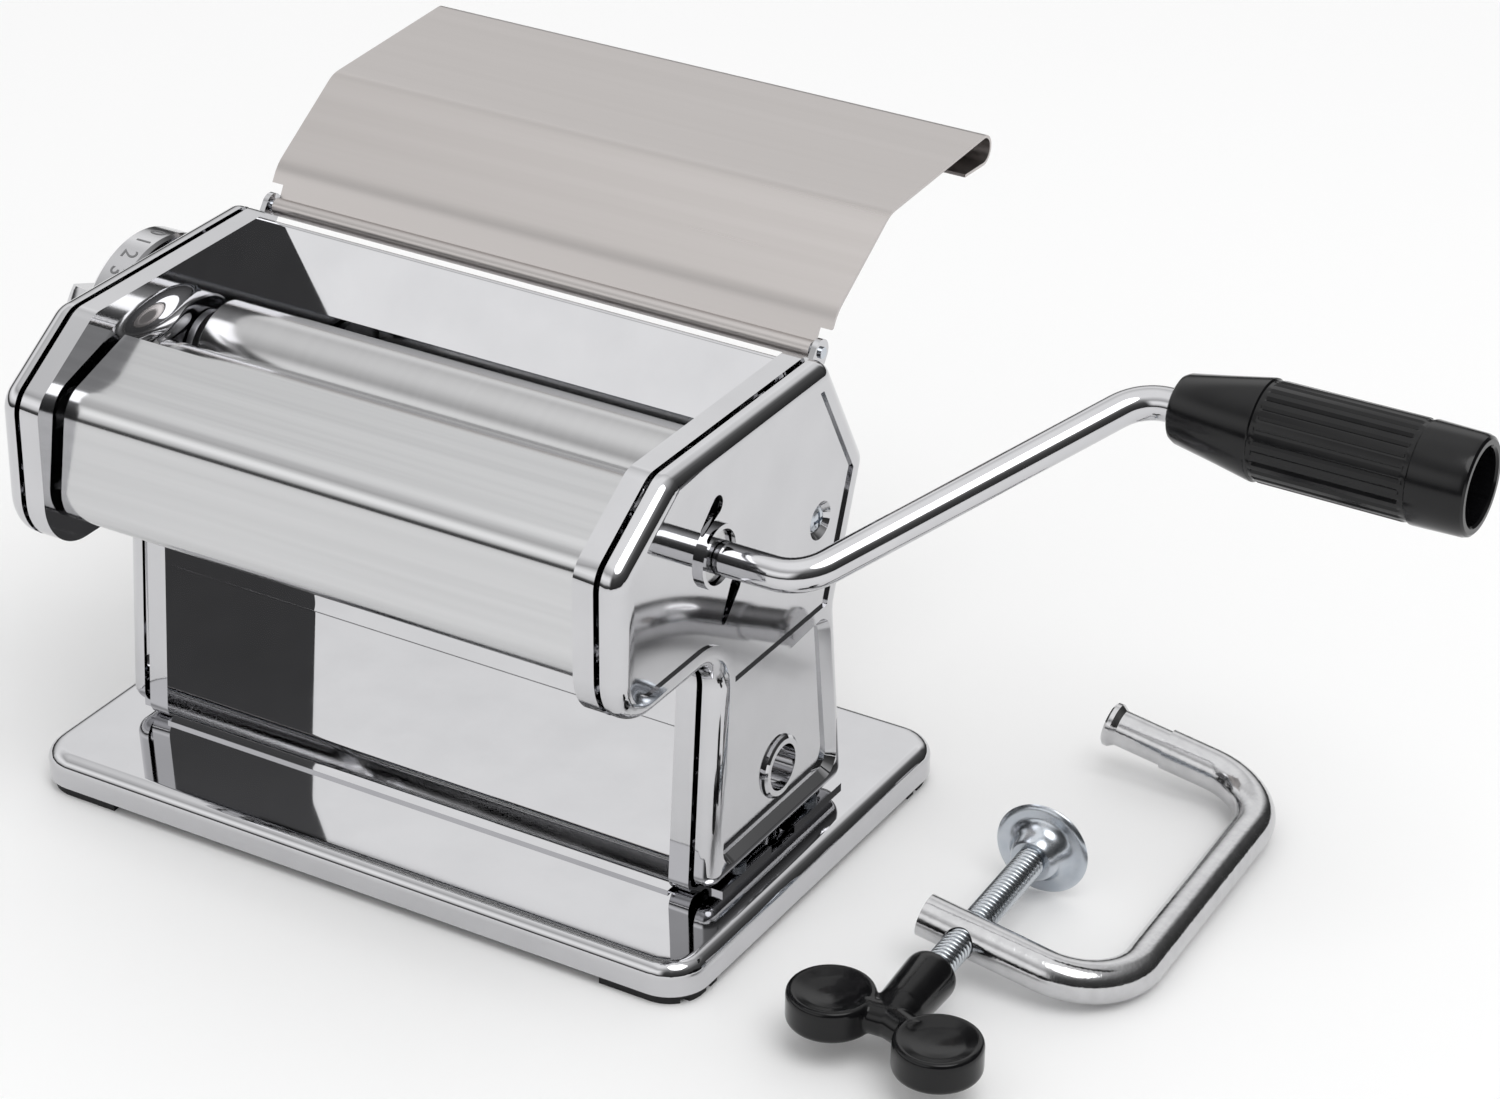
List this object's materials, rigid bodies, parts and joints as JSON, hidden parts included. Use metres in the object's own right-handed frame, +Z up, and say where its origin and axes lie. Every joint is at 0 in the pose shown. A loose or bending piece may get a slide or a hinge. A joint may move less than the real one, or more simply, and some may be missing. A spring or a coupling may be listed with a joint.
{
  "type": "hand-cranked pasta roller with table clamp",
  "caption": "Hand-cranked dough rolling machine: chromed side housings on a base tray, geared rollers with a numbered thickness knob, folding feed tray, crank with grip, loose screw clamp",
  "frame": {"origin": "on the table under the middle of the base plate", "axes": "+X along the rollers to the crank side, -Y the front where the cover is, +Z up"},
  "size_m": [0.3595, 0.189, 0.1638],
  "materials": {
    "chrome_sheet": "mirror plated sheet",
    "brushed_front": "fine brushed along the rollers",
    "satin_tray": "warm satin",
    "roller_metal": "satin turned",
    "chrome_rod": "polished plated rod",
    "chrome_knob": "polished plating",
    "zinc": "bright zinc",
    "gear_steel": "plain machined",
    "bush_plastic": "natural",
    "black_plastic": "glossy moulded",
    "foot_rubber": "matt"
  },
  "bodies": {
    "frame": {"base_plate": "chrome_sheet", "base_feet": "foot_rubber", "base_rivets": "zinc", "floor_plate": "chrome_sheet", "left_inner_plate": "chrome_sheet", "right_inner_plate": "chrome_sheet", "left_cover": "chrome_sheet", "right_cover": "chrome_sheet", "cover_screws": "zinc", "screw_posts": "zinc", "tie_bars": "zinc", "tie_bar_screws": "zinc", "front_cover": "brushed_front", "rear_hopper_wall": "chrome_sheet", "rear_cover": "chrome_sheet", "front_roller_bushes": "bush_plastic", "axle_bush": "bush_plastic", "gear_bracket": "gear_steel", "drive_collar": "chrome_sheet", "clamp_socket": "chrome_sheet", "front_scraper": "bush_plastic", "index_pin": "zinc", "tray_hinge_rod": "zinc"},
    "front_roller": {"front_roller": "roller_metal", "front_gear": "gear_steel"},
    "crank": {"crank_rod": "chrome_rod", "grip_washer": "zinc"},
    "grip": {"crank_grip": "black_plastic"},
    "adjuster": {"adjuster_axle": "gear_steel", "axle_clip": "zinc", "knob_screw": "zinc"},
    "knob": {"adjuster_knob": "chrome_knob", "knob_spring": "zinc"},
    "rear_carrier": {"rear_scraper": "bush_plastic", "scraper_brackets": "gear_steel"},
    "rear_roller": {"rear_roller": "roller_metal", "rear_roller_bushes": "bush_plastic", "rear_gear": "gear_steel"},
    "feed_tray": {"feed_tray": "satin_tray"},
    "clamp": {"clamp_frame": "chrome_rod"},
    "clamp_pad": {"clamp_pad": "zinc"},
    "clamp_screw": {"clamp_screw": "zinc", "clamp_wing_knob": "black_plastic"}
  },
  "joints": [
    {"name": "crank_turn", "type": "hinge", "parent": "frame", "child": "front_roller", "pos_m": [0, -0.0354, 0.1098], "axis": [1, 0, 0], "continuous": true},
    {"name": "crank_pull", "type": "slide", "parent": "front_roller", "child": "crank", "axis": [1, 0, 0], "range_m": [0, 0.03]},
    {"name": "grip_spin", "type": "hinge", "parent": "crank", "child": "grip", "pos_m": [0.21, 0.0404, 0.1381], "axis": [1, 0, 0], "continuous": true},
    {"name": "thickness_set", "type": "hinge", "parent": "frame", "child": "adjuster", "pos_m": [0, -0.0068, 0.1098], "axis": [-1, 0, 0], "range_deg": [0, 120]},
    {"name": "carrier_square", "type": "hinge", "parent": "adjuster", "child": "rear_carrier", "pos_m": [0, -0.008, 0.1098], "axis": [-1, 0, 0], "range_deg": [-120, 0]},
    {"name": "rear_roll", "type": "hinge", "parent": "rear_carrier", "child": "rear_roller", "pos_m": [0, -0.008, 0.1098], "axis": [1, 0, 0], "continuous": true},
    {"name": "knob_push", "type": "slide", "parent": "adjuster", "child": "knob", "axis": [1, 0, 0], "range_m": [0, 0.003], "stiffness_N_per_m": 900, "springref_m": 0.006, "deforming": ["knob_spring"]},
    {"name": "tray_fold", "type": "hinge", "parent": "frame", "child": "feed_tray", "pos_m": [0, 0.025, 0.136], "axis": [1, 0, 0], "range_deg": [0, 60]},
    {"name": "clamp_lift", "type": "slide", "parent": "frame", "child": "clamp", "axis": [1, 0, 0], "range_m": [0, 0.02]},
    {"name": "screw_advance", "type": "slide", "parent": "clamp", "child": "clamp_pad", "axis": [-0.0419, 0.9991, 0], "range_m": [-0.0121, 0.0121]},
    {"name": "screw_turn", "type": "hinge", "parent": "clamp_pad", "child": "clamp_screw", "pos_m": [0.1497, -0.01593, 0.0129], "axis": [-0.0419, 0.9991, 0], "range_deg": [-2880, 2880]}
  ],
  "couplings": [
    {"joint": "carrier_square", "follows": "thickness_set", "ratio": -1},
    {"joint": "rear_roll", "follows": "crank_turn", "ratio": -1},
    {"joint": "screw_advance", "follows": "screw_turn", "m_per_rad": 0.00023873}
  ]
}
